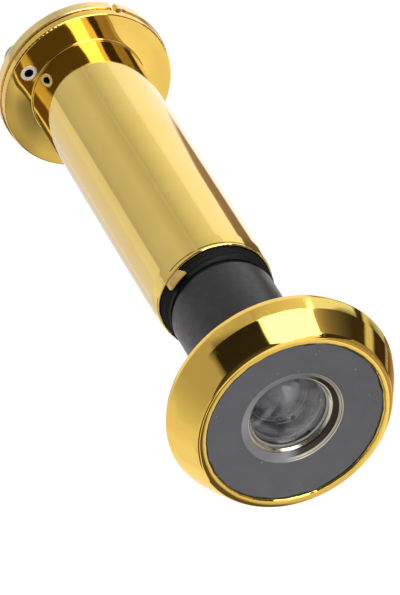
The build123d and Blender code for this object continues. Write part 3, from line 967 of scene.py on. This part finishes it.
def card(name, place, corners, colour, strength, feather=0.004):
    """A studio card or softbox that is seen only in reflections, with a soft rim."""
    mesh = bpy.data.meshes.new(name)
    count = len(corners)
    inner, outer = grown(corners, -feather / 2), grown(corners, feather / 2)
    rim = [(i, (i + 1) % count, count + (i + 1) % count, count + i) for i in range(count)]
    mesh.from_pydata([place(*spot) for spot in inner + outer], [], [tuple(range(count))] + rim)
    cover = mesh.attributes.new("cover", "FLOAT", "POINT")
    for index in range(2 * count):
        cover.data[index].value = 1.0 if index < count else 0.0
    mesh.materials.append(glow_material(name, colour, strength))
    thing = new_object(name, mesh)
    thing.visible_camera = False
    thing.visible_diffuse = False
    thing.visible_shadow = False


def level_card(name, z, corners, *glow, **soft):
    card(name, lambda x, y: (x, y, z), corners, *glow, **soft)


def side_card(name, x, corners, *glow, **soft):
    card(name, lambda y, z: (x, y, z), corners, *glow, **soft)


def back_card(name, y, corners, *glow, **soft):
    card(name, lambda x, z: (x, y, z), corners, *glow, **soft)


def box_corners(low, high):
    return [(low[0], low[1]), (high[0], low[1]), (high[0], high[1]), (low[0], high[1])]


def make_side_cards():
    window = [(0.03, -0.15), (0.03, 0.47), (-1.6, 0.04), (-1.6, -0.62)]
    low = box_corners((0.31, -0.3), (0.62, 0.05))
    wall = box_corners((0.03, -0.2), (1.8, 0.56))
    side_card("softbox", SOFTBOX_X, window, WHITE, SOFTBOX_STRENGTH, feather=0.05)
    level_card("softbox_low", TABLE_Z, low, WHITE, SOFTBOX_STRENGTH, feather=0.03)
    side_card("side_wall", SIDE_WALL_X, wall, CREAM, fading("Z", -0.15, 0.56, 1.0, 0.5), feather=0.04)


def ceiling_strength(nodes):
    """Smooth steps of grey from left to right, a little dimmer towards the visitor's side."""
    x0, x1 = CEILING_X
    parts = nodes.split(nodes.place())
    greys = nodes.node("ShaderNodeValToRGB")
    stops = greys.color_ramp.elements
    for x, grey in CEILING_STOPS[1:-1]:
        stops.new((x - x0) / (x1 - x0)).color = (grey, grey, grey, 1)
    for end, (x, grey) in ((0, CEILING_STOPS[0]), (-1, CEILING_STOPS[-1])):
        stops[end].color = (grey, grey, grey, 1)
    nodes.join(nodes.ramp(parts["X"], x0, x1), greys.inputs[0])
    near = nodes.ramp(parts["Y"], *CEILING_DIM_Y, low=CEILING_DIM)
    return nodes.sums("MULTIPLY", greys.outputs[0], near)


def make_overhead_cards():
    flag = [(0.107, 0.02), (2.2, 0.02), (2.2, -3.0), (-0.9, -3.0), (-0.36, -0.83)]
    wide = box_corners((CEILING_X[0], CEILING_Y[0]), (CEILING_X[1], CEILING_Y[1]))
    near = box_corners((-1.6, -1.0), (0.13, 0.2))
    level_card("dark_flag", FLAG_Z, flag, BEIGE, fading("Y", -0.1, -0.6, 0.025, 0.09), feather=0.05)
    level_card("ceiling", CEILING_Z, wide, WARM, ceiling_strength, feather=0.1)
    fade = fading("X", -0.8, -0.2, 0.88, 0.5)
    level_card("ceiling_near", CEILING_NEAR_Z, near, WARM, fade, feather=0.1)


def make_end_cards():
    far = box_corners((-1.5, -0.06), (-0.5, 0.5))
    front = box_corners((-6.0, -0.4), (-0.4, 0.46))
    back_card("far_wall", FAR_WALL_Y, far, PINK, 0.8, feather=0.05)
    back_card("front_wall", FRONT_WALL_Y, front, BROWN, 0.14, feather=0.1)


def make_pale_table_card():
    pale = [(-0.015, 0.03), (-0.1, 0.09), (-0.6, 0.45), (-0.6, 0.95), (-0.3, 0.95), (-0.02, 0.3)]
    level_card("table_pale", TABLE_Z, pale, PINK, 0.78, feather=0.02)


def make_near_table_cards():
    """The brown card under the part, and the cards one or two steps above it."""
    near = [
        (0.3, -0.25), (0.3, -0.1), (0.1, -0.045), (0.048, 0.056),
        (0.012, 0.056), (0.012, -0.075), (0.05, -0.25),
    ]
    glow = box_corners((0.07, -0.08), (0.35, -0.03))
    right = [(0.06, -0.0415), (0.1, -0.037), (0.3, -0.028), (0.3, 0.03), (0.06, -0.018)]
    left = box_corners((0.014, -0.041), (0.042, -0.018))
    strip = [(0.036, -0.07), (0.049, -0.07), (0.045, -0.03), (0.034, -0.03)]
    first = TABLE_Z + TABLE_STEP
    second = TABLE_Z + 2 * TABLE_STEP
    level_card("table_near", TABLE_Z, near, BROWN, fading("Y", -0.03, 0.06, 0.05, 0.4), feather=0.006)
    level_card("table_glow", first, glow, BEIGE, fading("X", 0.07, 0.34, 0.04, 0.6), feather=0.01)
    level_card("table_pale_right", second, right, COOL, 1.35, feather=0.006)
    level_card("table_pale_left", second, left, COOL, 0.95, feather=0.006)
    level_card("table_strip", first, strip, WARM, 0.75, feather=0.005)


def make_far_table_cards():
    red = box_corners((-0.019, -0.06), (0.012, -0.02))
    far = box_corners((-0.012, -0.2), (0.075, -0.075))
    left = box_corners((-0.4, -0.4), (-0.03, -0.05))
    level_card("table_red", TABLE_Z, red, ORANGE, fading("X", -0.01, 0.011, 0.6, 0.1))
    level_card("table_far", TABLE_Z, far, SAND, 0.5)
    level_card("table_left", TABLE_Z, left, WARM, fading("X", -0.052, -0.07, 0.8, 0.12), feather=0.02)


def make_world():
    """White wherever it is seen, and a plainer level where it lights matt surfaces."""
    world = bpy.data.worlds.new("studio")
    bpy.context.scene.world = world
    world.use_nodes = True
    world.node_tree.nodes.clear()
    nodes = Nodes(world.node_tree)
    light, seen = (nodes.glow("ShaderNodeBackground", WHITE, level) for level in (WORLD_LIGHT, WORLD_SEEN))
    nodes.output("ShaderNodeOutputWorld", nodes.mixed(nodes.seen_directly(), light, seen))


def make_floor():
    """Pale floor that shows white to the camera and in reflections, and still takes the shadow."""
    made, nodes = empty_material("pale_floor")
    matt = nodes.node("ShaderNodeBsdfDiffuse")
    matt.inputs["Color"].default_value = FLOOR_GREY
    lift = nodes.sums("MULTIPLY", nodes.seen_directly(), FLOOR_GLOW)
    both = nodes.node("ShaderNodeAddShader")
    nodes.join(matt.outputs[0], both.inputs[0])
    nodes.join(nodes.glow("ShaderNodeEmission", WHITE, lift), both.inputs[1])
    nodes.output("ShaderNodeOutputMaterial", both.outputs[0])
    corners = box_corners((-FLOOR_REACH, -FLOOR_REACH), (FLOOR_REACH, FLOOR_REACH))
    mesh = bpy.data.meshes.new("pale_floor")
    mesh.from_pydata([(x, y, FLOOR_Z) for x, y in corners], [], [(0, 1, 2, 3)])
    mesh.materials.append(made)
    new_object("pale_floor", mesh)


def soft_lamp(name, place, size, power):
    """A large soft lamp that points at the part and isn't seen in reflections."""
    lamp = bpy.data.lights.new(name, "AREA")
    lamp.shape = "DISK"
    lamp.size = size
    lamp.energy = power
    thing = new_object(name, lamp)
    thing.location = place
    thing.rotation_euler = (LAMP_TARGET - Vector(place)).to_track_quat("-Z", "Y").to_euler()
    thing.visible_glossy = False


# Finishes of the CAD nodes that stay, then the pieces made here

MATERIALS = {
    "plate_grey": plate_grey(),
    "black_finish": black_finish(),
    "lens_glass": lens_glass("lens_glass", clearest=0.96, haziest=0.85),
    "inner_glass": lens_glass("inner_glass", clearest=0.82, haziest=0.7),
    "lens_brass": lens_brass(),
    "rivet_nickel": rivet_nickel(),
    "washer_steel": washer_steel(),
    "spacer_black": spacer_black(),
    "seal_rubber": seal_rubber(),
    "tube_gold": tube_gold(),
    "bezel_gold": bezel_gold(),
    "flange_gold": flange_gold(),
    "cover_gold": cover_gold(),
    "tongue_gold": tongue_gold(),
}
FINISH = {
    "indoor_flange": "flange_gold",
    "privacy_cover": "cover_gold",
    "pivot_washer": "washer_steel",
    "front_plate": "plate_grey",
    "front_lens_ring": "lens_brass",
    "front_lens_seal": "seal_rubber",
    "front_lens": "lens_glass",
    "front_spacer": "spacer_black",
    "second_lens": "inner_glass",
    "middle_spacer": "spacer_black",
    "third_lens": "inner_glass",
    "aperture_stop": "spacer_black",
    "spacer_tube": "spacer_black",
    "eyepiece_lens": "lens_glass",
    "retaining_ring": "black_finish",
}
for node, look in FINISH.items():
    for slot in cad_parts[node].material_slots:
        slot.material = MATERIALS[look]


def dress(piece, node, body, look):
    piece.data.materials.append(MATERIALS[look])
    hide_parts(node)
    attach(piece, body)


dress(make_tube(), "viewer_tube", "indoor_unit", "tube_gold")
dress(make_tongue(), "viewer_tube", "indoor_unit", "tongue_gold")
dress(make_stop_tab(), "stop_pin", "indoor_unit", "bezel_gold")
dress(make_rivet(), "pivot_rivet", "indoor_unit", "rivet_nickel")
dress(make_barrel(), "lens_barrel", "outdoor_unit", "black_finish")
dress(make_bezel(), "bezel_ring", "outdoor_unit", "bezel_gold")
cover_lip = make_cover_lip()
cover_lip.data.materials.append(MATERIALS["cover_gold"])
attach(cover_lip, "cover")

make_camera()
make_world()
make_floor()
make_side_cards()
make_overhead_cards()
make_end_cards()
make_pale_table_card()
make_near_table_cards()
make_far_table_cards()
soft_lamp("key_lamp", place=(0.7, -0.5, 0.9), size=0.8, power=2.6)
soft_lamp("fill_lamp", place=(-0.8, -0.3, 0.8), size=0.8, power=1.2)
bpy.context.scene.view_settings.view_transform = "Standard"
